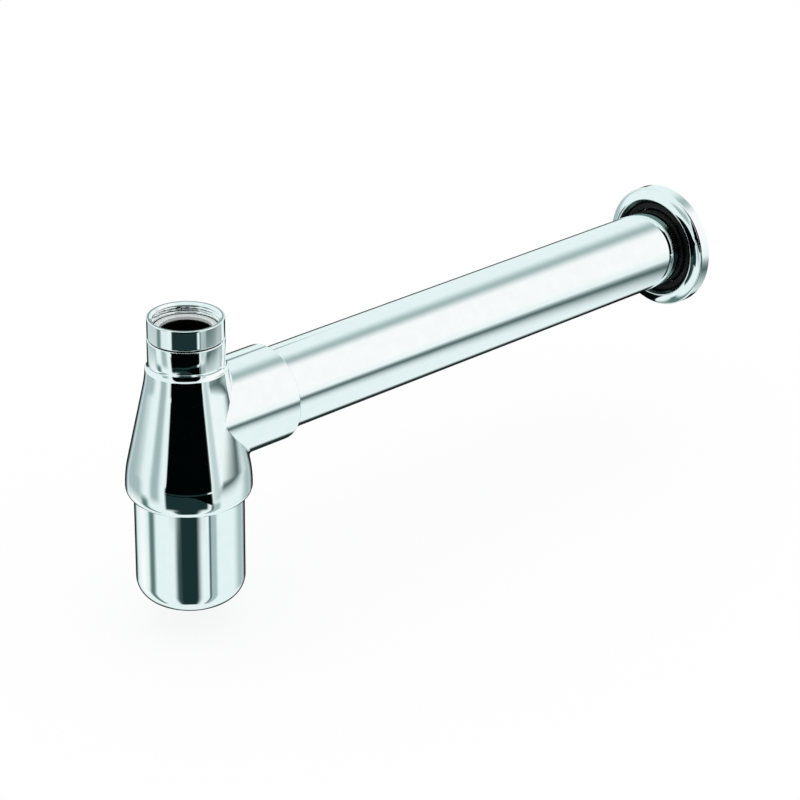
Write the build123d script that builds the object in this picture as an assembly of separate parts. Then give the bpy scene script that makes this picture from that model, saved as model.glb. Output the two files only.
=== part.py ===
from build123d import *
import os
from math import atan, cos, degrees, radians, sin

# Bottle trap for a sink: a screwed inlet ring, a bell-shaped body with a side branch, a cup that unscrews,
# and a straight tube that runs through a wall flange.
# Millimetres. +Z is up along the inlet, +Y runs along the outlet tube to the wall, and the origin is on the
# inlet's axis where its thread begins.

# Inlet nut
NUT_OD = 35.2
NUT_HEIGHT = 9.6
NUT_LIP = 1.2  # floor of the nut, which hooks under the dip tube's flange
NUT_EDGE = 0.5
THREAD_MINOR_D = 30.29  # inside diameter of a one inch pipe thread
MOUTH_CHAMFER = 1.1
RELIEF_DEPTH = 0.8  # undercut where the inlet thread runs out
RELIEF_HEIGHT = 3.4
SWIVEL_PLAY = 0.15  # between the nut's lip and the dip tube's flange

# Inlet washer
WASHER_THICKNESS = 1.8
WASHER_WIDTH = 2.9
WASHER_PLAY = 0.25  # between the washer's rim and the thread that it drops through

# Dip tube
DIP_OD = 26.0
DIP_WALL = 1.0
DIP_FLANGE_WIDTH = 1.6
DIP_FLANGE_THICKNESS = 1.2
DIP_PLAY = 0.5  # between the dip tube and the nut's lip
SOLDER_GAP = 0.05  # between the dip tube and the neck
WATER_SEAL = 50.0  # dip tube's lower end below the branch's waterway

# Trap body, from the neck down
NECK_GAP = 0.6  # shadow gap between the nut and the neck
NECK_OD = 35.4
NECK_HEIGHT = 10.8
NECK_EDGE = 0.6
COVE_HEIGHT = 3.6
COVE_DEPTH = 0.8
COVE_EDGE = 0.5
BELL_OVER_BRANCH = 6.1  # how far the bell's widest part stands outside the branch's radius
BELL_TOP_INSIDE = 4.3  # how far its top stays within that radius
BELL_HEIGHT = 62.9
BELL_LEAN = 2.75  # degrees that the side leans out at its top
BELL_STEEPNESS = 1.21  # slope of the bell's straight middle over its mean slope
BELL_EDGE = 5.1  # radius that turns the side in at its foot
BELL_EDGE_TURN = 57.0  # degrees that it turns through
BELL_CORNER = 0.4
BODY_WALL = 2.6
ROOF_WALL = 2.4

# Branch and its socket
OUTLET_SHARE = 0.442  # how far down the bell the outlet's axis is, as a share of its height
BRANCH_WALL = 3.05  # socket's bore to the branch's outside
BRANCH_REACH = 48.7  # inlet's axis to the branch's end
BRANCH_EDGE = 1.0
BRANCH_BLEND = 2.0  # fillet where the branch leaves the bell
SOCKET_DEPTH = 19.2
SOCKET_CLEARANCE = 0.15
SOCKET_CHAMFER = 0.6
WATERWAY_D = 36.0
SEAL_SECTION = 1.8
SEAL_GROOVE_WIDTH = 2.6
SEAL_FROM_END = 5.0  # branch's end to the middle of the seal
SEAL_CLEARANCE = 0.05

# Cup and its gasket
CUP_OD = 51.0
CUP_WALL = 1.5
CUP_FLOOR = 1.8
CUP_ROUND = 10.4
CUP_DROP = 53.3  # bell's lower face to the bottom of the cup
CUP_RIM_EDGE = 0.4
THREAD_LENGTH = 13.0  # how far the cup screws into the bell
THREAD_CLEARANCE = 0.3
SKIRT_CHAMFER = 0.5
GASKET_THICKNESS = 2.0
GASKET_PLAY = 0.2
LEDGE_WIDTH = 2.6
LEDGE_HEIGHT = 4.0

# Outlet tube
TUBE_OD = 40.0
TUBE_WALL = 1.0
TUBE_LENGTH = 300.0
TUBE_STOP_GAP = 0.3  # between the tube and the end of its socket
SPIGOT_STEP = 0.3  # sized end that goes into the drain
SPIGOT_LENGTH = 6.0
SPIGOT_CHAMFER = 0.4

# Wall flange and its grip ring
FLANGE_OD = 63.4
FLANGE_RIM = 5.9  # height of the rim above the wall
FLANGE_EDGE = 0.9
FACE_RISE = 2.6  # how far the face climbs from its rim to the crown
FACE_HOLLOW = 0.7  # how far the face sweeps in below a straight line to the crown
CROWN_OD = 52.0
CROWN_EDGE = 0.5
FLANGE_WALL = 1.2
FLANGE_PLAY = 0.3  # between the flange's hole and the tube
LIP_FROM_WALL = 1.2  # the wall to the back of the lip that carries the grip ring
TUBE_PROUD = 6.2  # tube past the flange's back
RING_SECTION = 4.2
RING_CLEARANCE = 0.05

# Heights that follow, down from the nut's mouth
mouth = MOUTH_CHAMFER
nut_foot = mouth - NUT_HEIGHT
lip_top = nut_foot + NUT_LIP
flange_foot = lip_top + SWIVEL_PLAY
flange_top = flange_foot + DIP_FLANGE_THICKNESS
neck_top = nut_foot - NECK_GAP
neck_foot = neck_top - NECK_HEIGHT
bell_top = neck_foot - COVE_HEIGHT
bell_foot = bell_top - BELL_HEIGHT
cup_foot = bell_foot - CUP_DROP
cup_rim = bell_foot + THREAD_LENGTH
ledge_foot = cup_rim + GASKET_THICKNESS
ledge_top = ledge_foot + LEDGE_HEIGHT
roof = bell_top - ROOF_WALL
outlet_axis = bell_top - OUTLET_SHARE * BELL_HEIGHT
dip_foot = outlet_axis - WATERWAY_D / 2 - WATER_SEAL

# Places that follow along the outlet, from the inlet's axis
socket_stop = BRANCH_REACH - SOCKET_DEPTH
tube_start = socket_stop + TUBE_STOP_GAP
tube_end = tube_start + TUBE_LENGTH
flange_back = tube_end - TUBE_PROUD
rim_front = flange_back - FLANGE_RIM
crown = rim_front - FACE_RISE
seat_floor = flange_back - LIP_FROM_WALL - FLANGE_WALL
ring_middle = seat_floor - RING_CLEARANCE - RING_SECTION / 2
seat_front = ring_middle - RING_SECTION / 2

# Radii that more than one piece shares
thread_r = THREAD_MINOR_D / 2
dip_r = DIP_OD / 2
dip_flange_r = dip_r + DIP_FLANGE_WIDTH
skirt_r = CUP_OD / 2 + THREAD_CLEARANCE
ledge_r = skirt_r - LEDGE_WIDTH
tube_r = TUBE_OD / 2
socket_r = tube_r + SOCKET_CLEARANCE
branch_r = socket_r + BRANCH_WALL
bell_r = branch_r + BELL_OVER_BRANCH
bell_top_r = branch_r - BELL_TOP_INSIDE

# The outlet's own frame: its height runs along +Y from the inlet's axis
OUTLET = Plane(origin=(0, 0, outlet_axis), x_dir=(1, 0, 0), z_dir=(0, 1, 0))


def turned(outline, rounds=()):
    """Turn a closed outline of (radius, height) edges or points about the upright axis.

    Each of rounds is a corner of the outline and the radius that it is rounded to.
    """
    is_points = isinstance(outline[0], tuple)
    wire = Polyline(*outline, close=True) if is_points else Curve() + outline
    section = make_face(Plane.XZ * wire)
    for (radius, height), size in rounds:
        corner = section.vertices().sort_by_distance((radius, 0, height))[0]
        section = fillet(corner, size)
    return revolve(section, Axis.Z)


def ring(inner_r, outer_r, foot, top):
    """A plain square-edged ring."""
    return turned([(inner_r, foot), (outer_r, foot), (outer_r, top), (inner_r, top)])


def plug(radius, foot, top):
    """A plain round bar from one height to another."""
    return turned([(0, foot), (radius, foot), (radius, top), (0, top)])


def o_ring(inner_r, section, middle):
    """A round-section ring."""
    centre = inner_r + section / 2
    outline = Plane.XZ * Pos(centre, middle) * Circle(section / 2)
    return revolve(outline, Axis.Z)


def bell_line(top_r, top, foot_r, foot):
    """Edges of a bell's side: a flare, a straight middle, and a swell of the same radius that ends upright.

    The bend's radius and the middle's length are what makes the three reach from the top to the foot.
    """
    rise = top - foot
    spread = foot_r - top_r
    lean = radians(BELL_LEAN)
    slope = atan(BELL_STEEPNESS * spread / rise)
    bends_down = 2 * sin(slope) - sin(lean)
    bends_out = cos(lean) + 1 - 2 * cos(slope)
    share = bends_down * sin(slope) - bends_out * cos(slope)
    bend = (rise * sin(slope) - spread * cos(slope)) / share
    straight = (bends_down * spread - bends_out * rise) / share
    flare = JernArc((top_r, top), (sin(lean), -cos(lean)), bend, degrees(slope - lean))
    middle = Line(flare @ 1, flare @ 1 + (flare % 1) * straight)
    swell = JernArc(middle @ 1, flare % 1, bend, -degrees(slope))
    return [flare, middle, swell]


def inlet_nut():
    """Round union ring: a chamfered mouth, the thread's bore, its relief, and a lip at the foot."""
    outer = NUT_OD / 2
    relief_r = thread_r + RELIEF_DEPTH
    relief_top = lip_top + RELIEF_HEIGHT
    lip_r = dip_r + DIP_PLAY
    outline = [
        (lip_r, nut_foot),
        (outer, nut_foot),
        (outer, mouth),
        (thread_r + MOUTH_CHAMFER, mouth),
        (thread_r, 0),
        (thread_r, relief_top),
        (relief_r, relief_top),
        (relief_r, lip_top),
        (lip_r, lip_top),
    ]
    edges = [((outer, nut_foot), NUT_EDGE), ((outer, mouth), NUT_EDGE)]
    return turned(outline, edges)


def inlet_washer():
    """Flat washer on the dip tube's flange."""
    outer = thread_r - WASHER_PLAY
    return ring(outer - WASHER_WIDTH, outer, flange_top, flange_top + WASHER_THICKNESS)


def dip_tube():
    """Drawn tube with a flange turned out at its top."""
    bore = dip_r - DIP_WALL
    outline = [
        (bore, dip_foot),
        (dip_r, dip_foot),
        (dip_r, flange_foot),
        (dip_flange_r, flange_foot),
        (dip_flange_r, flange_top),
        (bore, flange_top),
    ]
    return turned(outline, [((bore, flange_top), DIP_WALL / 2)])


def body_outside():
    """Neck, cove, bell and branch as one filled form."""
    neck_r = NECK_OD / 2
    side = bell_line(bell_top_r, bell_top, bell_r, bell_foot + BELL_EDGE * sin(radians(BELL_EDGE_TURN)))
    turn_in = JernArc(side[-1] @ 1, (0, -1), BELL_EDGE, -BELL_EDGE_TURN)
    corner_r = (turn_in @ 1).X
    outline = [
        Line((0, bell_foot), (0, neck_top)),
        Line((0, neck_top), (neck_r, neck_top)),
        Line((neck_r, neck_top), (neck_r, neck_foot)),
        SagittaArc((neck_r, neck_foot), (bell_top_r, bell_top), -COVE_DEPTH),
        *side,
        turn_in,
        Line((corner_r, bell_foot), (0, bell_foot)),
    ]
    rounds = [
        ((neck_r, neck_top), NECK_EDGE),
        ((neck_r, neck_foot), COVE_EDGE),
        ((bell_top_r, bell_top), COVE_EDGE),
        ((corner_r, bell_foot), BELL_CORNER),
    ]
    bell = turned(outline, rounds)
    end_corner = ((branch_r, BRANCH_REACH), BRANCH_EDGE)
    outline = [(0, 0), (branch_r, 0), (branch_r, BRANCH_REACH), (0, BRANCH_REACH)]
    branch = OUTLET.location * turned(outline, [end_corner])
    joined = bell + branch
    return fillet(new_edges(bell, branch, combined=joined), BRANCH_BLEND)


def body_hollow():
    """What the casting is cored and bored out of, along the inlet and along the outlet."""
    roof_r = bell_top_r - BODY_WALL
    side = bell_line(roof_r, roof, ledge_r, ledge_top)
    core = turned(
        [
            Line((0, ledge_foot), (0, roof)),
            Line((0, roof), (roof_r, roof)),
            *side,
            Line((ledge_r, ledge_top), (ledge_r, ledge_foot)),
            Line((ledge_r, ledge_foot), (0, ledge_foot)),
        ]
    )
    mouth_r = skirt_r + SKIRT_CHAMFER
    skirt = turned(
        [
            (0, bell_foot),
            (mouth_r, bell_foot),
            (skirt_r, bell_foot + SKIRT_CHAMFER),
            (skirt_r, ledge_foot),
            (0, ledge_foot),
        ]
    )
    neck_bore = plug(dip_r + SOLDER_GAP, roof, neck_top)
    socket_mouth = BRANCH_REACH - SOCKET_CHAMFER
    socket = turned(
        [
            (0, socket_stop),
            (socket_r, socket_stop),
            (socket_r, socket_mouth),
            (socket_r + SOCKET_CHAMFER, BRANCH_REACH),
            (0, BRANCH_REACH),
        ]
    )
    seal_middle = BRANCH_REACH - SEAL_FROM_END
    half = SEAL_GROOVE_WIDTH / 2
    groove_r = tube_r + SEAL_SECTION + 2 * SEAL_CLEARANCE
    groove = plug(groove_r, seal_middle - half, seal_middle + half)
    waterway = plug(WATERWAY_D / 2, 0, socket_stop)
    return core + skirt + neck_bore + OUTLET.location * (socket + groove + waterway)


def trap_body():
    """The casting: its outside less its hollow."""
    return body_outside() - body_hollow()


def outlet_seal():
    """O-ring in the socket's groove, round the tube."""
    return OUTLET.location * o_ring(tube_r + SEAL_CLEARANCE, SEAL_SECTION, BRANCH_REACH - SEAL_FROM_END)


def cup_gasket():
    """Flat ring between the body's ledge and the cup's rim."""
    return ring(ledge_r + GASKET_PLAY, skirt_r - GASKET_PLAY, cup_rim, ledge_foot)


def bottle_cup():
    """Round-bottomed cup whose upper end screws into the bell."""
    outer = CUP_OD / 2
    bore = outer - CUP_WALL
    floor = cup_foot + CUP_FLOOR
    outline = [
        (0, cup_foot),
        (outer, cup_foot),
        (outer, cup_rim),
        (bore, cup_rim),
        (bore, floor),
        (0, floor),
    ]
    rounds = [
        ((outer, cup_foot), CUP_ROUND),
        ((bore, floor), CUP_ROUND - CUP_WALL),
        ((outer, cup_rim), CUP_RIM_EDGE),
    ]
    return turned(outline, rounds)


def outlet_tube():
    """Straight tube with a sized end for the drain."""
    bore = tube_r - TUBE_WALL
    spigot_r = tube_r - SPIGOT_STEP
    outline = [
        (bore, tube_start),
        (tube_r, tube_start),
        (tube_r, tube_end - SPIGOT_LENGTH),
        (spigot_r, tube_end - SPIGOT_LENGTH),
        (spigot_r, tube_end - SPIGOT_CHAMFER),
        (spigot_r - SPIGOT_CHAMFER, tube_end),
        (bore, tube_end),
    ]
    return OUTLET.location * turned(outline)


def wall_flange():
    """Pressed flange: a rim, a face that sweeps up to a crown, and a hollow with a seat for the ring."""
    rim_r = FLANGE_OD / 2
    crown_r = CROWN_OD / 2
    seat_r = tube_r + RING_SECTION + 2 * RING_CLEARANCE
    hole_r = tube_r + FLANGE_PLAY
    front = Curve() + [
        Line((rim_r, flange_back), (rim_r, rim_front)),
        SagittaArc((rim_r, rim_front), (crown_r, crown), -FACE_HOLLOW),
        Line((crown_r, crown), (seat_r, seat_front)),
        Line((seat_r, seat_front), (seat_r, seat_floor)),
        Line((seat_r, seat_floor), (hole_r, seat_floor)),
    ]
    sheet = offset(front, FLANGE_WALL, side=Side.RIGHT)
    rounds = [((rim_r, rim_front), FLANGE_EDGE), ((crown_r, crown), CROWN_EDGE)]
    return OUTLET.location * turned(sheet.edges(), rounds)


def flange_ring():
    """Rubber ring in the flange's seat, which grips the tube."""
    return OUTLET.location * o_ring(tube_r + RING_CLEARANCE, RING_SECTION, ring_middle)


PIECES = [
    inlet_nut,
    inlet_washer,
    dip_tube,
    trap_body,
    outlet_seal,
    cup_gasket,
    bottle_cup,
    outlet_tube,
    wall_flange,
    flange_ring,
]

os.makedirs("parts", exist_ok=True)
for piece in PIECES:
    export_step(piece(), os.path.join("parts", piece.__name__ + ".step"))
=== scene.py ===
"""Looks of a chrome bottle trap for a sink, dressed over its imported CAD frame."""
import logging
import math
from dataclasses import dataclass, field
from enum import Enum

import bmesh
import bpy
import numpy as np
from mathutils import Matrix, Vector


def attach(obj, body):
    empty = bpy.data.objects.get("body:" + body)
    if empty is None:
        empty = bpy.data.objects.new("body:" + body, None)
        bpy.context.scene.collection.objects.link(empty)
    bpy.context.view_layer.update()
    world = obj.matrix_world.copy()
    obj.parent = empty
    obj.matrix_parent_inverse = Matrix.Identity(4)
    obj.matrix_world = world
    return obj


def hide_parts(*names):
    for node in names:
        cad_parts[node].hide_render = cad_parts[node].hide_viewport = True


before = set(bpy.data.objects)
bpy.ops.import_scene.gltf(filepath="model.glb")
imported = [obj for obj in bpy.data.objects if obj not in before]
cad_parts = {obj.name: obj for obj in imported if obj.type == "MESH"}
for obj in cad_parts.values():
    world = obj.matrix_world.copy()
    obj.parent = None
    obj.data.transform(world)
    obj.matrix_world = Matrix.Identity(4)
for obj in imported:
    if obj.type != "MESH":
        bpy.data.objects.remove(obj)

LOG = logging.getLogger("trap")
MM = 0.001
WHITE = (1.0, 1.0, 1.0, 1.0)
# An edge that bends by more than this is shaded as a sharp one.
SHARP = math.radians(28)
# Steps in one turn of a large or threaded piece.
FINE_TURN = 256
# Sockets of a colour Mix node, whose names the node's other kinds share.
MIX_SHARE, MIX_A, MIX_B, MIX_RESULT = 0, 6, 7, 2
Point = tuple[float, float]
Socket = bpy.types.NodeSocket
Tree = bpy.types.NodeTree


def linear(code: str) -> tuple[float, float, float, float]:
    """Turn an sRGB hex colour to linear light.

    Args:
        code: a colour such as "#e6eeee".

    Returns:
        Red, green, blue and a full alpha.
    """
    parts = [int(code[i:i + 2], 16) / 255 for i in (1, 3, 5)]
    light = [p / 12.92 if p <= 0.04045 else ((p + 0.055) / 1.055) ** 2.4 for p in parts]
    return (light[0], light[1], light[2], 1.0)


def add_node(tree: Tree, kind: str, settings: dict | None = None,
             links: dict | None = None) -> bpy.types.Node:
    """Add a node, set its properties and sockets, and link its inputs.

    Args:
        tree: the node tree that gets it.
        kind: Blender's name of the node's type.
        settings: properties by name, or input sockets by name or index, with their values.
        links: input sockets by name or index, with the output sockets that feed them.

    Returns:
        The new node.
    """
    node = tree.nodes.new(kind)
    for key, value in (settings or {}).items():
        if isinstance(key, int) or key in node.inputs:
            node.inputs[key].default_value = value
        else:
            setattr(node, key, value)
    for key, source in (links or {}).items():
        tree.links.new(source, node.inputs[key])
    return node


def calc(tree: Tree, operation: str, *terms: Socket | float) -> Socket:
    """Chain one step of arithmetic into a node tree.

    Args:
        tree: the node tree that gets it.
        operation: Blender's name of the sum.
        terms: numbers or sockets, in the sum's own order.

    Returns:
        The socket that holds the result.
    """
    numbers = {i: t for i, t in enumerate(terms) if isinstance(t, (int, float))}
    sockets = {i: t for i, t in enumerate(terms) if not isinstance(t, (int, float))}
    return add_node(tree, "ShaderNodeMath", {"operation": operation, **numbers}, sockets).outputs[0]


def new_material(name: str) -> bpy.types.Material:
    """Start a material that is made of nodes."""
    made = bpy.data.materials.new(name)
    made.use_nodes = True
    return made


def put(name: str, data: bpy.types.ID) -> bpy.types.Object:
    """Put a new object into the scene."""
    made = bpy.data.objects.new(name, data)
    bpy.context.scene.collection.objects.link(made)
    return made


class Slot(Enum):
    """The record's material slots."""

    CHROME = "chrome"
    BRASS = "brass"
    RUBBER = "rubber"


class Body(Enum):
    """The bodies that the pieces move with."""

    TRAP = "trap_body"
    NUT = "inlet_nut"
    GASKET = "cup_gasket"
    CUP = "bottle_cup"
    TUBE = "outlet_tube"
    FLANGE = "wall_flange"


class Line(Enum):
    """The two axes that pieces are turned about."""

    INLET = "inlet"
    OUTLET = "outlet"


def coat(tree: Tree, tone: Socket, gloss: Socket, bump: Socket) -> None:
    """Feed a finish's patterns to its shader.

    Args:
        tree: the material's nodes.
        tone: its colour.
        gloss: its roughness.
        bump: its bumped normal.
    """
    shader = tree.nodes["Principled BSDF"]
    for name, source in (("Base Color", tone), ("Roughness", gloss), ("Normal", bump)):
        tree.links.new(source, shader.inputs[name])


@dataclass(frozen=True)
class ChromePlate:
    """Bright chrome plate on buffed brass: a cool mirror with faint waves left by the buffing wheel."""

    bright: str = "#fafdfd"
    dull: str = "#f1f6f6"
    smooth: float = 0.015
    hazy: float = 0.03
    wave_mm: float = 14.0
    wave_height_mm: float = 0.010
    wave_detail: float = 1.0
    haze_mm: float = 6.0
    haze_detail: float = 3.0

    def material(self) -> bpy.types.Material:
        """Build the finish as nodes."""
        made = new_material("chrome_plate_on_buffed_brass")
        tree = made.node_tree
        tree.nodes["Principled BSDF"].inputs["Metallic"].default_value = 1.0
        place = add_node(tree, "ShaderNodeTexCoord").outputs["Object"]
        wave = add_node(tree, "ShaderNodeTexNoise",
                        {"Scale": 1 / (self.wave_mm * MM), "Detail": self.wave_detail}, {"Vector": place})
        haze = add_node(tree, "ShaderNodeTexNoise",
                        {"Scale": 1 / (self.haze_mm * MM), "Detail": self.haze_detail}, {"Vector": place})
        tone = add_node(tree, "ShaderNodeMix",
                        {"data_type": "RGBA", MIX_A: linear(self.dull), MIX_B: linear(self.bright)},
                        {MIX_SHARE: haze.outputs[0]})
        gloss = add_node(tree, "ShaderNodeMapRange", {"To Min": self.smooth, "To Max": self.hazy},
                         {"Value": haze.outputs[0]})
        bump = add_node(tree, "ShaderNodeBump", {"Strength": 1.0, "Distance": self.wave_height_mm * MM},
                        {"Height": wave.outputs[0]})
        coat(tree, tone.outputs[MIX_RESULT], gloss.outputs[0], bump.outputs[0])
        return made


@dataclass(frozen=True)
class GrainedFinish:
    """A finish of two tones in a fine grain, which also dents the surface."""

    name: str
    light: str
    dark: str
    metallic: float
    roughness: float
    grain_mm: float
    depth_mm: float
    stretch: float = 1.0
    specular: float = 0.5
    detail: float = 4.0
    uneven: float = 0.2

    def material(self) -> bpy.types.Material:
        """Build the finish as nodes, its grain drawn out along the upright axis by the stretch."""
        made = new_material(self.name)
        tree = made.node_tree
        shader = tree.nodes["Principled BSDF"]
        shader.inputs["Metallic"].default_value = self.metallic
        shader.inputs["Specular IOR Level"].default_value = self.specular
        place = add_node(tree, "ShaderNodeTexCoord").outputs["Object"]
        drawn = add_node(tree, "ShaderNodeMapping", {"Scale": (1.0, 1.0, 1 / self.stretch)},
                         {"Vector": place})
        grain = add_node(tree, "ShaderNodeTexNoise",
                         {"Scale": 1 / (self.grain_mm * MM), "Detail": self.detail},
                         {"Vector": drawn.outputs[0]}).outputs[0]
        tone = add_node(tree, "ShaderNodeMix",
                        {"data_type": "RGBA", MIX_A: linear(self.dark), MIX_B: linear(self.light)},
                        {MIX_SHARE: grain})
        limits = {"To Min": self.roughness * (1 - self.uneven), "To Max": self.roughness * (1 + self.uneven)}
        gloss = add_node(tree, "ShaderNodeMapRange", limits, {"Value": grain})
        bump = add_node(tree, "ShaderNodeBump", {"Strength": 1.0, "Distance": self.depth_mm * MM},
                        {"Height": grain})
        coat(tree, tone.outputs[MIX_RESULT], gloss.outputs[0], bump.outputs[0])
        return made


@dataclass(frozen=True)
class Finishes:
    """Every material of the trap, made once."""

    chrome: bpy.types.Material
    cast: bpy.types.Material
    brass: bpy.types.Material
    rubber: bpy.types.Material
    recess_shade: bpy.types.Material
    washer: bpy.types.Material

    @staticmethod
    def mix() -> "Finishes":
        """Make the materials."""
        # Sand-cast brass left as it came: dull, yellow-brown, pitted by the core sand.
        cast = GrainedFinish("sand_cast_brass", "#a58a52", "#6f5a34",
                             metallic=1.0, roughness=0.5, grain_mm=0.7, depth_mm=0.05)
        # Drawn brass tube, darkened as painted shade for the unlit inside of the neck: long faint lines along
        # the draw.
        brass = GrainedFinish("drawn_brass_painted_shade", "#3d372b", "#1d1a15",
                              metallic=1.0, roughness=0.35, grain_mm=0.5, depth_mm=0.01, stretch=40.0)
        # Moulded nitrile rubber: black, a faint sheen, a bloom of fine grain.
        rubber = GrainedFinish("moulded_nitrile_rubber", "#0a0b0b", "#050606",
                               metallic=0.0, roughness=0.4, grain_mm=0.4, depth_mm=0.004, specular=0.2)
        # Painted shade in the flange's recess: a grey, a little dull metal, darker than the chrome, so that
        # the recess mirrors grey.
        recess_shade = GrainedFinish("recess_painted_shade", "#7f9592", "#647a77",
                               metallic=1.0, roughness=0.16, grain_mm=1.5, depth_mm=0.003)
        # Pale rubber for the washer, its tone a painted reflection of the bright ring in the mouth: smooth, a
        # soft sheen.
        washer = GrainedFinish("washer_painted_reflection", "#f2f6f6", "#e6ecec",
                               metallic=0.0, roughness=0.25, grain_mm=0.4, depth_mm=0.004)
        kinds = (ChromePlate(), cast, brass, rubber, recess_shade, washer)
        return Finishes(*(kind.material() for kind in kinds))


@dataclass
class Outline:
    """The half section of a turned piece: corners in millimetres, some rounded, and ready-made curves."""

    closed: bool = True
    corners: list[tuple[float, float, float]] = field(default_factory=list)
    support: float = 0.25
    step: float = 12.0
    turn: float = 4.0

    def go(self, radius: float, height: float, rounding: float = 0.0) -> "Outline":
        """Add a corner, rounded to a radius where one is given."""
        self.corners.append((radius, height, rounding))
        return self

    def follow(self, curve: list[Point]) -> "Outline":
        """Add the points of a ready-made curve."""
        for radius, height in curve:
            self.go(radius, height)
        return self

    def points(self) -> list[Point]:
        """Round the corners and split the straights.

        Returns:
            The outline's points, close enough together for a mirror finish.
        """
        bent: list[Point] = []
        for i, (radius, height, rounding) in enumerate(self.corners):
            bent += self._arc(i) if rounding else [(radius, height)]
        return self._split(bent)

    def _arc(self, i: int) -> list[Point]:
        """Round one corner.

        Args:
            i: the corner's place in the list.

        Returns:
            Points along the round.
        """
        here, rounding = np.array(self.corners[i][:2]), self.corners[i][2]
        before = np.array(self.corners[i - 1][:2]) - here
        after = np.array(self.corners[(i + 1) % len(self.corners)][:2]) - here
        before /= np.linalg.norm(before)
        after /= np.linalg.norm(after)
        opening = math.acos(float(np.clip(before @ after, -1, 1)))
        inwards = (before + after) / np.linalg.norm(before + after)
        middle = here + inwards * rounding / math.sin(opening / 2)
        reach = rounding / math.tan(opening / 2)
        start = here + before * reach - middle
        end = here + after * reach - middle
        first = math.atan2(start[1], start[0])
        sweep = (math.atan2(end[1], end[0]) - first + math.pi) % math.tau - math.pi
        steps = max(3, math.ceil(abs(math.degrees(sweep)) / self.turn))
        turns = [first + sweep * k / steps for k in range(steps + 1)]
        return [(middle[0] + rounding * math.cos(a), middle[1] + rounding * math.sin(a)) for a in turns]

    def _split(self, bent: list[Point]) -> list[Point]:
        """Add points near the ends of each long straight and along it."""
        out: list[Point] = []
        ends = bent[1:] + (bent[:1] if self.closed else [])
        for start, end in zip(bent, ends):
            out.append(start)
            length = math.dist(start, end)
            if length < 4 * self.support:
                continue
            near = self.support / length
            pieces = max(1, math.ceil(length / self.step))
            for share in [near] + [k / pieces for k in range(1, pieces)] + [1 - near]:
                out.append((start[0] + (end[0] - start[0]) * share, start[1] + (end[1] - start[1]) * share))
        if not self.closed:
            out.append(bent[-1])
        return out


@dataclass(frozen=True)
class Thread:
    """A screw thread on one cylinder of a turned piece."""

    radius: float
    foot: float
    top: float
    pitch: float
    depth: float


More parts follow.
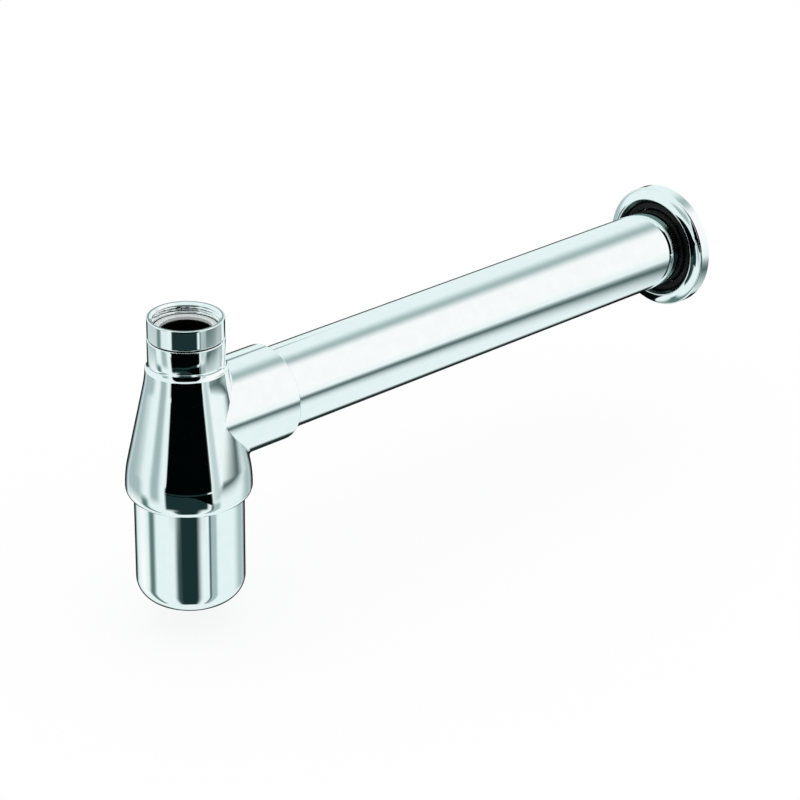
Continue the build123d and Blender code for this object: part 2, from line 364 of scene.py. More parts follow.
class Lathe:
    """Geometry Nodes tree that turns an outline round an axis and winds a thread into one cylinder."""

    HUB = 0.001
    MERGE = 1e-7
    THREAD_SKIN = 0.00005
    HALF_TURN = 0.5
    CREST = 0.1
    ROOT = 0.4
    SIZES = ("Sharp Angle", "Thread Radius", "Thread Foot", "Thread Top", "Thread Pitch", "Thread Depth")

    def __init__(self) -> None:
        """Build the tree once for every turned piece."""
        self.tree = bpy.data.node_groups.new("turned_piece", "GeometryNodeTree")
        self.keys: dict[str, str] = {}
        face = self.tree.interface
        face.new_socket("Outline", in_out="INPUT", socket_type="NodeSocketGeometry")
        kinds = {"Segments": "NodeSocketInt", **dict.fromkeys(self.SIZES, "NodeSocketFloat"),
                 "Finish": "NodeSocketMaterial"}
        for name, kind in kinds.items():
            self.keys[name] = face.new_socket(name, in_out="INPUT", socket_type=kind).identifier
        face.new_socket("Piece", in_out="OUTPUT", socket_type="NodeSocketGeometry")
        self._wire()

    def _wire(self) -> None:
        """Lay out the nodes that sweep the outline, cut the thread, mark sharp edges and set the finish."""
        tree = self.tree
        given = add_node(tree, "NodeGroupInput").outputs
        circle = add_node(tree, "GeometryNodeCurvePrimitiveCircle", {"mode": "RADIUS", "Radius": self.HUB},
                          {"Resolution": given["Segments"]})
        swept = add_node(tree, "GeometryNodeCurveToMesh", None,
                         {"Curve": circle.outputs[0], "Profile Curve": given["Outline"]})
        merged = add_node(tree, "GeometryNodeMergeByDistance", {"Distance": self.MERGE},
                          {"Geometry": swept.outputs[0]})
        cut = add_node(tree, "GeometryNodeSetPosition", None,
                       {"Geometry": merged.outputs[0], "Offset": self._groove(given)})
        smooth = add_node(tree, "GeometryNodeSetShadeSmooth", {"domain": "FACE", "Shade Smooth": True},
                          {"Geometry": cut.outputs[0]})
        bend = add_node(tree, "GeometryNodeInputMeshEdgeAngle").outputs[0]
        is_sharp = calc(tree, "GREATER_THAN", bend, given["Sharp Angle"])
        edged = add_node(tree, "GeometryNodeSetShadeSmooth", {"domain": "EDGE", "Shade Smooth": False},
                         {"Geometry": smooth.outputs[0], "Selection": is_sharp})
        real = add_node(tree, "GeometryNodeRealizeInstances", None, {"Geometry": edged.outputs[0]})
        done = add_node(tree, "GeometryNodeSetMaterial", None,
                        {"Geometry": real.outputs[0], "Material": given["Finish"]})
        add_node(tree, "NodeGroupOutput", None, {0: done.outputs[0]})

    def _groove(self, given: bpy.types.NodeOutputs) -> Socket:
        """Work out how far each point of the threaded cylinder moves outwards.

        Args:
            given: the tree's inputs.

        Returns:
            The socket that holds the offset, zero off the thread and faded out at its ends.
        """
        tree = self.tree
        place = add_node(tree, "GeometryNodeInputPosition").outputs[0]
        across, along, height = add_node(tree, "ShaderNodeSeparateXYZ", None, {0: place}).outputs
        flat = add_node(tree, "ShaderNodeCombineXYZ", None, {0: across, 1: along}).outputs[0]
        radius = add_node(tree, "ShaderNodeVectorMath", {"operation": "LENGTH"}, {0: flat}).outputs["Value"]
        outwards = add_node(tree, "ShaderNodeVectorMath", {"operation": "NORMALIZE"}, {0: flat}).outputs[0]
        on_thread = calc(tree, "COMPARE", radius, given["Thread Radius"], self.THREAD_SKIN)
        turns = calc(tree, "DIVIDE", calc(tree, "ARCTAN2", along, across), math.tau)
        rows = calc(tree, "DIVIDE", height, given["Thread Pitch"])
        wave = calc(tree, "PINGPONG", calc(tree, "SUBTRACT", rows, turns), self.HALF_TURN)
        form = add_node(tree, "ShaderNodeMapRange", {"From Min": self.CREST, "From Max": self.ROOT},
                        {"Value": wave}).outputs[0]
        from_foot = calc(tree, "SUBTRACT", height, given["Thread Foot"])
        from_top = calc(tree, "SUBTRACT", given["Thread Top"], height)
        nearest = calc(tree, "DIVIDE", calc(tree, "MINIMUM", from_foot, from_top), given["Thread Pitch"])
        fade = add_node(tree, "ShaderNodeMapRange", {"From Max": self.HALF_TURN}, {"Value": nearest})
        share = calc(tree, "MULTIPLY", calc(tree, "MULTIPLY", form, fade.outputs[0]), on_thread)
        depth = calc(tree, "MULTIPLY", share, given["Thread Depth"])
        shift = add_node(tree, "ShaderNodeVectorMath", {"operation": "SCALE"}, {0: outwards, "Scale": depth})
        return shift.outputs[0]

    def turn(self, name: str, outline: Outline, finish: bpy.types.Material, line: Line = Line.INLET,
             thread: Thread | None = None, segments: int = 192) -> bpy.types.Object:
        """Turn one piece.

        Args:
            name: the piece's name.
            outline: its half section, as radius and place along its axis.
            finish: its material.
            line: the axis that it is turned about.
            thread: a thread to wind into it.
            segments: how many steps one turn takes.

        Returns:
            The piece as a plain mesh in the trap's frame.
        """
        points = outline.points()
        curve = bpy.data.curves.new(name + "_outline", "CURVE")
        curve.dimensions = "3D"
        spline = curve.splines.new("POLY")
        spline.points.add(len(points) - 1)
        for dot, (radius, height) in zip(spline.points, points):
            dot.co = (radius * MM - self.HUB, -height * MM, 0.0, 1.0)
        spline.use_cyclic_u = outline.closed
        blank = put(name + "_outline", curve)
        step = blank.modifiers.new("turn", "NODES")
        step.node_group = self.tree
        wound = thread or Thread(radius=0.0, foot=0.0, top=0.0, pitch=1.0, depth=0.0)
        lengths = (wound.radius, wound.foot, wound.top, wound.pitch, wound.depth)
        sizes = zip(self.SIZES, (SHARP, *(length * MM for length in lengths)))
        for key, value in (("Segments", segments), *sizes, ("Finish", finish)):
            step[self.keys[key]] = value
        graph = bpy.context.evaluated_depsgraph_get()
        mesh = bpy.data.meshes.new_from_object(blank.evaluated_get(graph))
        bpy.data.objects.remove(blank)
        mesh.name = name
        if line is Line.OUTLET:
            lay_down = ((1, 0, 0, 0), (0, 0, 1, 0), (0, -1, 0, TrapBody.outlet * MM), (0, 0, 0, 1))
            mesh.transform(Matrix(lay_down))
        shape = bmesh.new()
        shape.from_mesh(mesh)
        if shape.calc_volume(signed=True) < 0:
            bmesh.ops.reverse_faces(shape, faces=shape.faces)
            shape.to_mesh(mesh)
        shape.free()
        return put(name, mesh)


def settle(piece: bpy.types.Object, node: str, body: Body) -> None:
    """Let a piece stand for its CAD node.

    Args:
        piece: the finished mesh.
        node: the CAD node that it replaces.
        body: the body that it moves with.
    """
    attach(piece, body.value)
    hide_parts(node)
    LOG.info("%s: %d faces on %s", piece.name, len(piece.data.polygons), body.value)


def swelling(inner: float, section: float, middle: float, steps: int = 32) -> Outline:
    """Half section of a round rubber ring.

    Args:
        inner: the ring's inside radius.
        section: the rubber's thickness.
        middle: the ring's place along its axis.
        steps: how many points go round the rubber.

    Returns:
        A closed circle.
    """
    ring = Outline()
    for k in range(steps):
        angle = math.tau * k / steps
        ring.go(inner + section / 2 * (1 + math.cos(angle)), middle + section / 2 * math.sin(angle))
    return ring


@dataclass
class InletFittings:
    """Union nut, its washer, and the dip tube that hangs in the neck."""

    nut_r: float = 17.6
    mouth: float = 1.1
    mouth_edge: float = 0.12
    nut_foot: float = -8.5
    nut_edge: float = 0.5
    bore_r: float = 15.145
    relief_r: float = 15.945
    relief_top: float = -3.9
    lip_top: float = -7.3
    lip_r: float = 13.5
    pitch: float = 2.309
    thread_depth: float = 0.9
    thread_rows: int = 34
    washer_top: float = -4.15
    washer_foot: float = -5.95
    washer_r: float = 14.895
    washer_bore: float = 11.995
    washer_edge: float = 0.3
    dip_r: float = 13.0
    dip_bore: float = 12.0
    dip_flange_r: float = 14.6
    dip_flange_foot: float = -7.15
    dip_foot: float = -119.302
    dip_foot_edge: float = 0.2
    dip_neck_edge: float = 0.1
    dip_flange_edge: float = 0.15
    dip_mouth_edge: float = 0.5

    def build(self, lathe: Lathe, finishes: Finishes) -> None:
        """Turn the nut with its thread, the washer and the dip tube."""
        thread = Thread(self.bore_r, self.relief_top, 0.0, self.pitch, self.thread_depth)
        nut = lathe.turn("union_nut", self.nut(), finishes.chrome, thread=thread, segments=FINE_TURN)
        settle(nut, "inlet_nut", Body.NUT)
        edge = self.washer_edge
        washer = Outline().go(self.washer_bore, self.washer_foot, edge)
        washer.go(self.washer_r, self.washer_foot, edge).go(self.washer_r, self.washer_top, edge)
        washer.go(self.washer_bore, self.washer_top, edge)
        # The washer's pale tone is a painted reflection.
        ring = lathe.turn("inlet_washer_ring", washer, finishes.washer)
        settle(ring, "inlet_washer", Body.TRAP)
        dip = Outline().go(self.dip_bore, self.dip_foot, self.dip_foot_edge)
        dip.go(self.dip_r, self.dip_foot, self.dip_foot_edge)
        dip.go(self.dip_r, self.dip_flange_foot, self.dip_neck_edge)
        dip.go(self.dip_flange_r, self.dip_flange_foot, self.dip_flange_edge)
        dip.go(self.dip_flange_r, self.washer_foot, self.dip_flange_edge)
        dip.go(self.dip_bore, self.washer_foot, self.dip_mouth_edge)
        # The dip pipe's dark brass is painted shade.
        settle(lathe.turn("dip_pipe", dip, finishes.brass), "dip_tube", Body.TRAP)

    def nut(self) -> Outline:
        """Draw the nut's half section, with close rows of points where its thread is wound."""
        nut = Outline().go(self.lip_r, self.nut_foot).go(self.nut_r, self.nut_foot, self.nut_edge)
        nut.go(self.nut_r, self.mouth, self.nut_edge)
        nut.go(self.bore_r + self.mouth, self.mouth, self.mouth_edge).go(self.bore_r, 0.0)
        for k in range(1, self.thread_rows):
            nut.go(self.bore_r, self.relief_top * k / self.thread_rows)
        nut.go(self.bore_r, self.relief_top).go(self.relief_r, self.relief_top)
        return nut.go(self.relief_r, self.lip_top).go(self.lip_r, self.lip_top)


@dataclass
class TrapBody:
    """The casting of neck, bell and branch, and the seal in the branch."""

    outlet: float = -51.3018
    bell_top: float = -23.5
    bell_top_r: float = 18.9
    bell_r: float = 29.3
    bell_foot: float = -86.4
    lean: float = math.radians(2.75)
    steepness: float = 1.21
    foot_edge: float = 5.1
    foot_turn: float = math.radians(57.0)
    bend_steps: int = 60
    straight_steps: int = 20
    foot_steps: int = 24
    branch_r: float = 23.2
    branch_end: float = 48.7
    branch_edge: float = 1.0
    seal_inner: float = 20.05
    seal_section: float = 1.8
    seal_middle: float = 43.7
    # How far under the outer line the hollow starts, and how far off its ends and the branch's.
    hollow_depth: float = 1.2
    hollow_foot: float = 0.3
    branch_margin: float = 1.0
    # How near a point lies to an exact surface, how far from that surface's ends, and how well they agree.
    skin: float = 0.03
    foot_margin: float = 0.6
    top_margin: float = 0.5
    edge_margin: float = 0.01
    agreement: float = 0.9

    def bell_side(self) -> np.ndarray:
        """Work out the bell's outer line.

        Returns:
            Rows of height, radius, and the outward normal's radial and upward parts, from the top down.
        """
        foot = self.bell_foot + self.foot_edge * math.sin(self.foot_turn)
        rise = self.bell_top - foot
        spread = self.bell_r - self.bell_top_r
        slope = math.atan(self.steepness * spread / rise)
        down = 2 * math.sin(slope) - math.sin(self.lean)
        out = math.cos(self.lean) + 1 - 2 * math.cos(slope)
        share = down * math.sin(slope) - out * math.cos(slope)
        bend = (rise * math.sin(slope) - spread * math.cos(slope)) / share
        straight = (down * spread - out * rise) / share
        rows = []
        for a in np.linspace(self.lean, slope, self.bend_steps):
            rows.append((self.bell_top - bend * (math.sin(a) - math.sin(self.lean)),
                         self.bell_top_r + bend * (math.cos(self.lean) - math.cos(a)), a))
        height, radius = rows[-1][:2]
        for t in np.linspace(0, straight, self.straight_steps)[1:]:
            rows.append((height - t * math.cos(slope), radius + t * math.sin(slope), slope))
        height, radius = rows[-1][:2]
        for a in np.linspace(slope, 0, self.bend_steps)[1:]:
            rows.append((height - bend * (math.sin(slope) - math.sin(a)),
                         radius + bend * (math.cos(a) - math.cos(slope)), a))
        height, radius = rows[-1][:2]
        for a in np.linspace(0, self.foot_turn, self.foot_steps)[1:]:
            rows.append((height - self.foot_edge * math.sin(a),
                         radius - self.foot_edge * (1 - math.cos(a)), -a))
        return np.array([(h, r, math.cos(a), math.sin(a)) for h, r, a in rows])

    def build(self, lathe: Lathe, finishes: Finishes) -> None:
        """Take the casting's own surface, give it the true normals of bell and branch, and turn the seal."""
        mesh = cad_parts["trap_body"].data.copy()
        mesh.name = "bell_casting"
        shape = bmesh.new()
        shape.from_mesh(mesh)
        bmesh.ops.remove_doubles(shape, verts=shape.verts, dist=1e-6)
        shape.to_mesh(mesh)
        shape.free()
        mesh.materials.clear()
        mesh.materials.append(finishes.chrome)
        mesh.materials.append(finishes.cast)
        side = self.bell_side()[::-1]
        for face in mesh.polygons:
            face.use_smooth = True
            face.material_index = int(self.is_inside(face.center / MM, side))
        mesh.set_sharp_from_angle(angle=SHARP)
        self.true_normals(mesh, side)
        settle(put("bell_casting", mesh), "trap_body", Body.TRAP)
        seal = swelling(self.seal_inner, self.seal_section, self.seal_middle)
        ring = lathe.turn("branch_seal", seal, finishes.rubber, Line.OUTLET)
        settle(ring, "outlet_seal", Body.TRAP)

    def is_inside(self, middle: Vector, side: np.ndarray) -> bool:
        """Tell a cored or bored face from a polished one.

        Args:
            middle: the face's middle, in millimetres.
            side: the bell's outer line, from the foot up.

        Returns:
            True where the face belongs to the hollow.
        """
        reach = math.hypot(middle.x, middle.z - self.outlet)
        if middle.y > self.bell_top_r and reach < self.branch_r + self.branch_margin:
            is_short = middle.y < self.branch_end - self.branch_margin
            return is_short and reach < self.branch_r - self.branch_edge
        radius = float(np.interp(middle.z, side[:, 0], side[:, 1]))
        is_deep = math.hypot(middle.x, middle.y) < radius - self.hollow_depth
        return is_deep and self.bell_foot + self.hollow_foot < middle.z < self.bell_top

    def true_normals(self, mesh: bpy.types.Mesh, side: np.ndarray) -> None:
        """Give corners on the bell and the branch the exact direction that a turned surface has there.

        Args:
            mesh: the casting.
            side: the bell's outer line, from the foot up.
        """
        count = len(mesh.vertices)
        place = np.zeros(count * 3)
        mesh.vertices.foreach_get("co", place)
        x, y, z = (place.reshape(-1, 3) / MM).T
        spread = np.maximum(np.hypot(x, y), 1e-6)
        radius, flat, rise = (np.interp(z, side[:, 0], side[:, k]) for k in (1, 2, 3))
        on_bell = np.abs(spread - radius) < self.skin
        on_bell &= (z > self.bell_foot + self.foot_margin) & (z < self.bell_top - self.top_margin)
        up = z - self.outlet
        reach = np.maximum(np.hypot(x, up), 1e-6)
        on_branch = (np.abs(reach - self.branch_r) < self.skin) & (y > 0)
        on_branch &= y < self.branch_end - self.branch_edge + self.edge_margin
        exact = np.zeros((count, 3))
        exact[on_bell] = np.stack((x / spread * flat, y / spread * flat, rise), 1)[on_bell]
        exact[on_branch] = np.stack((x / reach, np.zeros(count), up / reach), 1)[on_branch]
        corners = np.zeros(len(mesh.loops) * 3)
        mesh.corner_normals.foreach_get("vector", corners)
        corners = corners.reshape(-1, 3)
        owner = np.zeros(len(mesh.loops), int)
        mesh.loops.foreach_get("vertex_index", owner)
        better = exact[owner]
        swap = (on_bell | on_branch)[owner] & ((better * corners).sum(1) > self.agreement)
        corners[swap] = better[swap]
        mesh.normals_split_custom_set([tuple(c) for c in corners])


@dataclass
class CupFittings:
    """The cup that unscrews, with its thread, and its gasket."""

    cup_r: float = 25.5
    bore: float = 24.0
    foot: float = -139.7
    floor: float = -137.9
    rim: float = -73.4
    round_r: float = 10.4
    rim_edge: float = 0.4
    bore_edge: float = 0.2
    thread_length: float = 12.0
    thread_end: float = 0.8
    thread_rows: int = 96
    pitch: float = 2.0
    thread_depth: float = -0.6
    gasket_inner: float = 23.4
    gasket_outer: float = 25.6
    gasket_top: float = -71.4
    gasket_edge: float = 0.25

    def build(self, lathe: Lathe, finishes: Finishes) -> None:
        """Turn the cup with its thread, and the gasket."""
        cup = Outline(closed=False).go(0.0, self.foot).go(self.cup_r, self.foot, self.round_r)
        thread_foot, thread_top = self.rim - self.thread_length, self.rim - self.thread_end
        for k in range(self.thread_rows):
            cup.go(self.cup_r, thread_foot + (thread_top - thread_foot) * k / (self.thread_rows - 1))
        cup.go(self.cup_r, self.rim, self.rim_edge).go(self.bore, self.rim, self.bore_edge)
        cup.go(self.bore, self.floor, self.round_r - self.cup_r + self.bore).go(0.0, self.floor)
        thread = Thread(self.cup_r, thread_foot, thread_top, self.pitch, self.thread_depth)
        bottle = lathe.turn("screw_cup", cup, finishes.chrome, thread=thread, segments=FINE_TURN)
        settle(bottle, "bottle_cup", Body.CUP)
        edge = self.gasket_edge
        gasket = Outline().go(self.gasket_inner, self.rim, edge).go(self.gasket_outer, self.rim, edge)
        gasket.go(self.gasket_outer, self.gasket_top, edge).go(self.gasket_inner, self.gasket_top, edge)
        settle(lathe.turn("cup_gasket_ring", gasket, finishes.rubber), "cup_gasket", Body.GASKET)


@dataclass
class WallTube:
    """The tube that slides in the branch."""

    tube_r: float = 20.0
    bore: float = 19.0
    start: float = 29.8
    end: float = 329.8
    bore_edge: float = 0.15
    start_edge: float = 0.2
    spigot_r: float = 19.7
    spigot: float = 6.0
    chamfer: float = 0.4

    def build(self, lathe: Lathe, finishes: Finishes) -> None:
        """Turn the tube with its sized end."""
        tube = Outline().go(self.bore, self.start, self.bore_edge)
        tube.go(self.tube_r, self.start, self.start_edge)
        tube.go(self.tube_r, self.end - self.spigot).go(self.spigot_r, self.end - self.spigot)
        tube.go(self.spigot_r, self.end - self.chamfer).go(self.spigot_r - self.chamfer, self.end)
        tube.go(self.bore, self.end)
        pipe = lathe.turn("wall_pipe", tube, finishes.chrome, Line.OUTLET, segments=FINE_TURN)
        settle(pipe, "outlet_tube", Body.TUBE)


@dataclass
class WallRosette:
    """The pressed flange and the rubber ring that grips the tube."""

    rim_r: float = 31.7
    back: float = 323.6
    rim_front: float = 317.7
    crown_r: float = 26.0
    crown: float = 315.1
    rim_edge: float = 0.9
    crown_edge: float = 0.5
    back_edge: float = 0.15
    sweep: float = 0.7
    sweep_steps: int = 24
    face_inset: float = 0.6
    seat_r: float = 24.3
    seat_front: float = 316.95
    seat_floor: float = 321.2
    hole_r: float = 20.3
    wall: float = 1.2
    # How far the corners of the hollow back lie behind those of the front.
    hollow_crown: Point = (0.04, 1.73)
    hollow_rim: float = 1.13
    hollow_seat: float = 0.47
    hollow_inset: float = 0.3
    # Where the recess's painted shade ends: behind the crown's round, at the seat's floor, on faces that don't
    # look outwards.
    recess_edge: float = 0.25
    recess_floor: float = 0.01
    recess_facing: float = 0.3
    ring_inner: float = 20.05
    ring_section: float = 4.2
    ring_middle: float = 319.05

    def face(self, depth: float, first: Point, last: Point, inset: float) -> list[Point]:
        """Follow the hollow sweep of the face, or a line behind it.

        Args:
            depth: how far behind the face the line runs.
            first: the corner that it leaves.
            last: the corner that it comes to.
            inset: how far short of each corner it stays.

        Returns:
            Points along the sweep.
        """
        rim, crown = np.array((self.rim_r, self.rim_front)), np.array((self.crown_r, self.crown))
        chord = crown - rim
        half = float(np.linalg.norm(chord)) / 2
        radius = (half * half + self.sweep * self.sweep) / (2 * self.sweep)
        front = np.array((-chord[1], chord[0])) / (2 * half)
        middle = (rim + crown) / 2 + front * (radius - self.sweep)
        ends = [math.atan2(y - middle[1], r - middle[0]) for r, y in (first, last)]
        step = math.copysign(inset / radius, ends[1] - ends[0])
        turns = np.linspace(ends[0] + step, ends[1] - step, self.sweep_steps)
        reach = radius + depth
        return [(middle[0] + reach * math.cos(a), middle[1] + reach * math.sin(a)) for a in turns]

    def section(self) -> Outline:
        """Draw the flange's half section: rim, face, crown, seat, hole and hollow back."""
        rim, crown = (self.rim_r, self.rim_front), (self.crown_r, self.crown)
        hollow_r, seat_back = self.seat_r + self.wall, self.seat_floor + self.wall
        flange = Outline().go(self.rim_r, self.back, self.back_edge).go(*rim, self.rim_edge)
        flange.follow(self.face(0.0, rim, crown, self.face_inset)).go(*crown, self.crown_edge)
        flange.go(self.seat_r, self.seat_front).go(self.seat_r, self.seat_floor)
        flange.go(self.hole_r, self.seat_floor, self.back_edge).go(self.hole_r, seat_back, self.back_edge)
        flange.go(hollow_r, seat_back, self.wall).go(hollow_r, self.seat_front + self.hollow_seat)
        inner = (self.crown_r + self.hollow_crown[0], self.crown + self.hollow_crown[1])
        outer = (self.rim_r - self.wall, self.rim_front + self.hollow_rim)
        flange.go(*inner).follow(self.face(self.wall, inner, outer, self.hollow_inset)).go(*outer)
        return flange.go(self.rim_r - self.wall, self.back, self.back_edge)

    def build(self, lathe: Lathe, finishes: Finishes) -> None:
        """Press the flange, darken its recess with a painted shade, and turn its ring."""
        section = self.section()
        rosette = lathe.turn("wall_rosette", section, finishes.chrome, Line.OUTLET, segments=FINE_TURN)
        # The recess takes a darker metal as painted shade.
        rosette.data.materials.append(finishes.recess_shade)
        for face in rosette.data.polygons:
            spoke = Vector((face.center.x, 0.0, face.center.z - TrapBody.outlet * MM))
            is_front = face.center.y < (self.seat_floor + self.recess_floor) * MM
            is_front &= face.normal.dot(spoke.normalized()) < self.recess_facing
            face.material_index = int(is_front and spoke.length < (self.crown_r - self.recess_edge) * MM)
        settle(rosette, "wall_flange", Body.FLANGE)
        ring = swelling(self.ring_inner, self.ring_section, self.ring_middle)
        grip = lathe.turn("grip_ring", ring, finishes.rubber, Line.OUTLET)
        settle(grip, "flange_ring", Body.FLANGE)


@dataclass(frozen=True)
class Card:
    """A patch of the studio's surround, as a photographer's card seen from the trap, in degrees."""

    azimuth: float
    elevation: float
    half_width: float
    half_height: float
    soft_width: float
    soft_height: float
    colour: str


@dataclass
class Studio:
    """Pale surround with cards, white floor, dark flags that only the chrome mirrors, lamp and camera.

    Angles are in degrees and start in front of the trap. The flags' places are in millimetres.
    """

    pale: str = "#ebf8f8"
    # A later card covers an earlier one.
    cards: tuple[Card, ...] = (
        # White window to the right, along the tube.
        Card(140.0, 30.0, 40.0, 35.0, 24.0, 20.0, "#ffffff"),
        # Left side: a white patch under a grey bar, a grey strip, and a green strip low down.
        Card(-66.0, -28.0, 10.0, 16.0, 10.0, 10.0, "#ffffff"),
        Card(-66.0, -18.0, 23.0, 7.0, 20.0, 8.0, "#a9bdbe"),
        Card(-13.0, 0.0, 9.0, 22.0, 12.0, 8.0, "#a6b9b9"),
        Card(-36.0, -42.0, 8.0, 20.0, 12.0, 6.0, "#5f7c77"),
        # Right side: two pale strips, one over the other.
        Card(101.0, -43.0, 7.0, 20.0, 8.0, 4.0, "#a8bcbd"),
        Card(101.0, 0.0, 6.0, 21.0, 8.0, 6.0, "#c6d5d5"),
        # Behind, past the tube: a low grey card and a high one.
        Card(180.0, -25.0, 16.0, 10.0, 30.0, 8.0, "#a9bfbd"),
        Card(184.0, 55.0, 15.0, 25.0, 30.0, 16.0, "#a8bbbb"),
        # Camera's side: a dark green band below, with a grey strip at each hand, and the black room above.
        Card(28.0, -45.5, 7.0, 18.0, 12.0, 3.0, "#54686a"),
        Card(46.0, -17.5, 38.0, 9.5, 6.0, 3.0, "#1c3132"),
        Card(49.0, -34.5, 21.5, 28.5, 15.0, 3.0, "#1c3132"),
        Card(93.0, -43.0, 2.5, 20.0, 4.0, 6.0, "#55696b"),
        Card(50.0, 28.0, 40.0, 32.0, 4.0, 2.0, "#010404"),
        # Opposite the camera: a dark backdrop for the chrome's edges, and a small grey card for the nut's rim.
        Card(231.0, -33.0, 34.0, 29.5, 18.0, 10.0, "#222d2d"),
        Card(232.0, 24.0, 2.5, 4.0, 2.0, 4.0, "#8a9c9b"),
    )
    azimuth: float = 46.23
    elevation: float = 25.47
    roll: float = 0.90
    distance: float = 1.2490
    right: float = 0.09636
    up: float = 0.00994
    pixels: float = 2751.0
    frame_pixels: float = 800.0
    sensor: float = 36.0
    floor_half: float = 4.0
    floor_white: float = 0.97
    floor_glow: float = 0.8
    cup_room: float = 12.5
    # Dark room: the paper's edge as angle and reach, then bands as reach and weight.
    paper_edge: tuple[Point, ...] = (
        (7.5, 286), (11.5, 286), (20, 286), (30, 286), (40, 286), (50, 284), (60, 262), (70, 222),
        (80, 182), (87.5, 160), (91.5, 150),
    )
    paper_soft: float = 8.0
    room_bands: tuple[Point, ...] = ((302, 1.0), (308, 0.0), (335, 0.0), (343, 1.0), (3000, 1.0))
    room_tone: str = "#010404"
    # Tube's shade: places along its middle, each with its reach towards the tube and away from it.
    shade_line: tuple[tuple[float, float, float, float], ...] = (
        (350, 60, 180, 330), (322, 145, 200, 360), (288, 212, 200, 360), (250, 268, 190, 340),
        (208, 322, 170, 310), (165, 374, 160, 270), (120, 424, 150, 240), (70, 470, 140, 220),
    )
    shade_depth: float = 0.9
    shade_tone: str = "#4a6261"
    # Far shade: its edge under the tube as place along, place across and weight, and its other side.
    far_edge: tuple[tuple[float, float, float], ...] = (
        (190, -90, 0), (198, -86, 1), (250, -60, 1), (300, -35, 1), (345, -12, 1), (400, 0, 1),
        (460, 0, 1), (480, 0, 0),
    )
    far_soft: float = 3.0
    far_side: Point = (-220.0, -180.0)
    far_tone: str = "#060a0a"
    lamp_size: float = 1.6
    lamp_energy: float = 1.5
    lamp_place: tuple[float, float, float] = (0.3, 0.1, 1.6)

    def build(self) -> None:
        """Set the world, the floor, the flags, the lamp and the camera."""
        bpy.context.scene.view_settings.view_transform = "Standard"
        self.surround()
        self.floor()
        self.dark_room()
        self.tube_shade()
        self.far_shade()
        self.lamp()
        self.camera()

    def surround(self) -> None:
        """Paint the world by direction: white to the camera, with the cards for what the chrome mirrors."""
        world = bpy.data.worlds.new("studio")
        bpy.context.scene.world = world
        world.use_nodes = True
        tree = world.node_tree
        tree.nodes.clear()
        way = add_node(tree, "ShaderNodeTexCoord").outputs["Generated"]
        axes = add_node(tree, "ShaderNodeSeparateXYZ", None, {0: way}).outputs
        height = calc(tree, "ARCSINE", axes[2])
        colour: Socket | None = None
        for card in self.cards:
            under = {MIX_A: colour} if colour else {}
            mix = add_node(tree, "ShaderNodeMix",
                           {"data_type": "RGBA", MIX_A: linear(self.pale), MIX_B: linear(card.colour)},
                           {MIX_SHARE: self.card_mask(tree, axes, height, card), **under})
            colour = mix.outputs[MIX_RESULT]
        path = add_node(tree, "ShaderNodeLightPath").outputs
        mirrored = calc(tree, "MAXIMUM", path["Is Glossy Ray"], path["Is Transmission Ray"])
        shown = add_node(tree, "ShaderNodeMix", {"data_type": "RGBA", MIX_A: WHITE},
                         {MIX_SHARE: mirrored, MIX_B: colour})
        back = add_node(tree, "ShaderNodeBackground", None, {"Color": shown.outputs[MIX_RESULT]})
        add_node(tree, "ShaderNodeOutputWorld", None, {0: back.outputs[0]})

    def card_mask(self, tree: Tree, axes: bpy.types.NodeOutputs, height: Socket, card: Card) -> Socket:
        """Measure how far a direction lies inside a card.

        Args:
            tree: the world's nodes.
            axes: the direction's three parts.
            height: its elevation.
            card: the card.

        Returns:
            A socket from 0 outside to 1 inside.
        """
        turn = math.radians(card.azimuth)
        ahead = calc(tree, "SUBTRACT", calc(tree, "MULTIPLY", axes[0], math.sin(turn)),
                     calc(tree, "MULTIPLY", axes[1], math.cos(turn)))
        aside = calc(tree, "ADD", calc(tree, "MULTIPLY", axes[0], math.cos(turn)),
                     calc(tree, "MULTIPLY", axes[1], math.sin(turn)))
        off = calc(tree, "ABSOLUTE", calc(tree, "ARCTAN2", aside, ahead))
        lift = calc(tree, "ABSOLUTE", calc(tree, "SUBTRACT", height, math.radians(card.elevation)))
        masks = []
        for value, half, soft in ((off, card.half_width, card.soft_width),
                                  (lift, card.half_height, card.soft_height)):
            limits = {"interpolation_type": "SMOOTHSTEP", "From Min": math.radians(half - soft / 2),
                      "From Max": math.radians(half + soft / 2), "To Min": 1.0, "To Max": 0.0}
            masks.append(add_node(tree, "ShaderNodeMapRange", limits, {"Value": value}).outputs[0])
        return calc(tree, "MULTIPLY", masks[0], masks[1])

    def floor(self) -> None:
        """Lay a white floor, low enough for the cup to unscrew, which the chrome doesn't mirror."""
        mesh = bpy.data.meshes.new("floor")
        half, low = self.floor_half, (CupFittings.foot - self.cup_room) * MM
        corners = [(-half, -half, low), (half, -half, low), (half, half, low), (-half, half, low)]
        mesh.from_pydata(corners, [], [(0, 1, 2, 3)])
        paint = new_material("white_paper")
        tree = paint.node_tree
        shader = tree.nodes["Principled BSDF"]
        shader.inputs["Base Color"].default_value = (*[self.floor_white] * 3, 1.0)
        shader.inputs["Roughness"].default_value = 1.0
        shader.inputs["Specular IOR Level"].default_value = 0.0
        seen = add_node(tree, "ShaderNodeLightPath").outputs["Is Camera Ray"]
        glow = add_node(tree, "ShaderNodeEmission", {"Color": WHITE, "Strength": 1.0})
        share = calc(tree, "MULTIPLY", seen, self.floor_glow)
        mixed = add_node(tree, "ShaderNodeMixShader", None,
                         {0: share, 1: shader.outputs[0], 2: glow.outputs[0]})
        tree.links.new(mixed.outputs[0], tree.nodes["Material Output"].inputs["Surface"])
        mesh.materials.append(paint)
        plane = put("floor", mesh)
        plane.visible_glossy = False

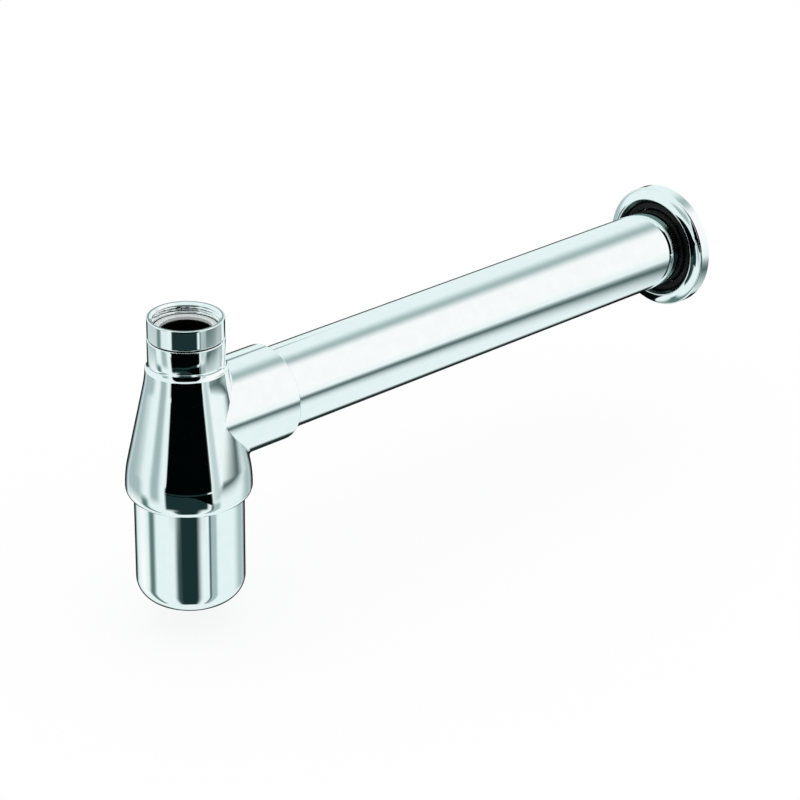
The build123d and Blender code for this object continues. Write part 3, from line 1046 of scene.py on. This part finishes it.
    def flag(self, name: str, rows: list[list[Vector]], weights: list[list[float]], colour: str) -> None:
        """Hang a soft-edged dark flag that only the chrome mirrors.

        Args:
            name: the flag's name.
            rows: its points, row by row.
            weights: how solid it is at each point, from 0 to 1.
            colour: its shade.
        """
        wide = len(rows[0])
        faces = [(k * wide + j, k * wide + j + 1, (k + 1) * wide + j + 1, (k + 1) * wide + j)
                 for k in range(len(rows) - 1) for j in range(wide - 1)]
        mesh = bpy.data.meshes.new(name)
        mesh.from_pydata([point for row in rows for point in row], [], faces)
        solid = mesh.attributes.new("solid", "FLOAT", "POINT")
        solid.data.foreach_set("value", [w for row in weights for w in row])
        cloth = new_material(name + "_cloth")
        tree = cloth.node_tree
        tree.nodes.clear()
        amount = add_node(tree, "ShaderNodeAttribute", {"attribute_name": "solid"}).outputs["Fac"]
        soft = add_node(tree, "ShaderNodeMapRange", {"interpolation_type": "SMOOTHSTEP"}, {"Value": amount})
        clear = add_node(tree, "ShaderNodeBsdfTransparent")
        shade = add_node(tree, "ShaderNodeEmission", {"Color": linear(colour), "Strength": 1.0})
        mixed = add_node(tree, "ShaderNodeMixShader", None,
                         {0: soft.outputs[0], 1: clear.outputs[0], 2: shade.outputs[0]})
        add_node(tree, "ShaderNodeOutputMaterial", None, {0: mixed.outputs[0]})
        mesh.materials.append(cloth)
        flag = put(name, mesh)
        flag.visible_camera = flag.visible_diffuse = flag.visible_shadow = flag.visible_transmission = False

    def on_floor(self, across: float, along: float) -> Vector:
        """Find a place level with the cup's foot, in metres."""
        return Vector((across, along, CupFittings.foot)) * MM

    def dark_room(self) -> None:
        """Black out the room past the floor's paper, on the camera's side, but for one paler band."""
        turns = [math.radians(a) for a, _ in self.paper_edge]
        edges = [r for _, r in self.paper_edge]
        bands = [(edges, 0.0), ([r + self.paper_soft for r in edges], 1.0)]
        bands += [([reach] * len(turns), weight) for reach, weight in self.room_bands]
        rows, weights = [], []
        for reaches, weight in bands:
            rows.append([self.on_floor(r * math.sin(a), -r * math.cos(a)) for r, a in zip(reaches, turns)])
            weights.append([0.0] + [weight] * (len(turns) - 2) + [0.0])
        self.flag("dark_room", rows, weights, self.room_tone)

    def tube_shade(self) -> None:
        """Lay the soft shade that runs aslant past the tube on the floor, mirrored as a streak along it."""
        line = [self.on_floor(x, y) for x, y, _, _ in self.shade_line]
        rows, weights = [], []
        for k, (middle, (_, _, inner, outer)) in enumerate(zip(line, self.shade_line)):
            ahead = line[min(k + 1, len(line) - 1)] - line[max(k - 1, 0)]
            side = Vector((ahead.y, -ahead.x, 0.0)).normalized() * MM
            rows.append([middle - side * inner, middle, middle + side * outer])
            weights.append([0.0, self.shade_depth if k else 0.0, 0.0])
        self.flag("tube_shade", rows, weights, self.shade_tone)

    def far_shade(self) -> None:
        """Lay the dark shade behind the tube, which the flange's foot and the tube's edge mirror."""
        rows, weights = [], []
        for along, edge, weight in self.far_edge:
            rows.append([self.on_floor(x, along) for x in (*self.far_side, edge - self.far_soft, edge)])
            weights.append([0.0, weight, weight, 0.0])
        self.flag("far_shade", rows, weights, self.far_tone)

    def lamp(self) -> None:
        """Hang one wide soft lamp overhead."""
        light = bpy.data.lights.new("overhead", "AREA")
        light.shape = "DISK"
        light.size = self.lamp_size
        light.energy = self.lamp_energy
        lamp = put("overhead", light)
        lamp.location = self.lamp_place
        lamp.visible_glossy = False

    def camera(self) -> None:
        """Stand the camera where the photograph was taken from."""
        a, e, r = (math.radians(v) for v in (self.azimuth, self.elevation, self.roll))
        back = Vector((math.sin(a) * math.cos(e), -math.cos(a) * math.cos(e), math.sin(e)))
        right = Vector((math.cos(a), math.sin(a), 0.0))
        up = back.cross(right)
        across = right * math.cos(r) + up * math.sin(r)
        upward = up * math.cos(r) - right * math.sin(r)
        lens = bpy.data.cameras.new("camera")
        lens.sensor_width = self.sensor
        lens.lens = self.pixels * self.sensor / self.frame_pixels
        stand = put("camera", lens)
        place = Matrix((across, upward, back)).transposed().to_4x4()
        place.translation = back * self.distance + across * self.right + upward * self.up
        place.translation.z += TrapBody.outlet * MM
        stand.matrix_world = place
        bpy.context.scene.camera = stand


def main() -> None:
    """Build the pieces in order, then the studio."""
    logging.basicConfig(level=logging.INFO, format="%(message)s")
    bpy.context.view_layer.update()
    finishes = Finishes.mix()
    lathe = Lathe()
    for part in (InletFittings(), TrapBody(), CupFittings(), WallTube(), WallRosette()):
        part.build(lathe, finishes)
    Studio().build()


if __name__ == "__main__":
    main()
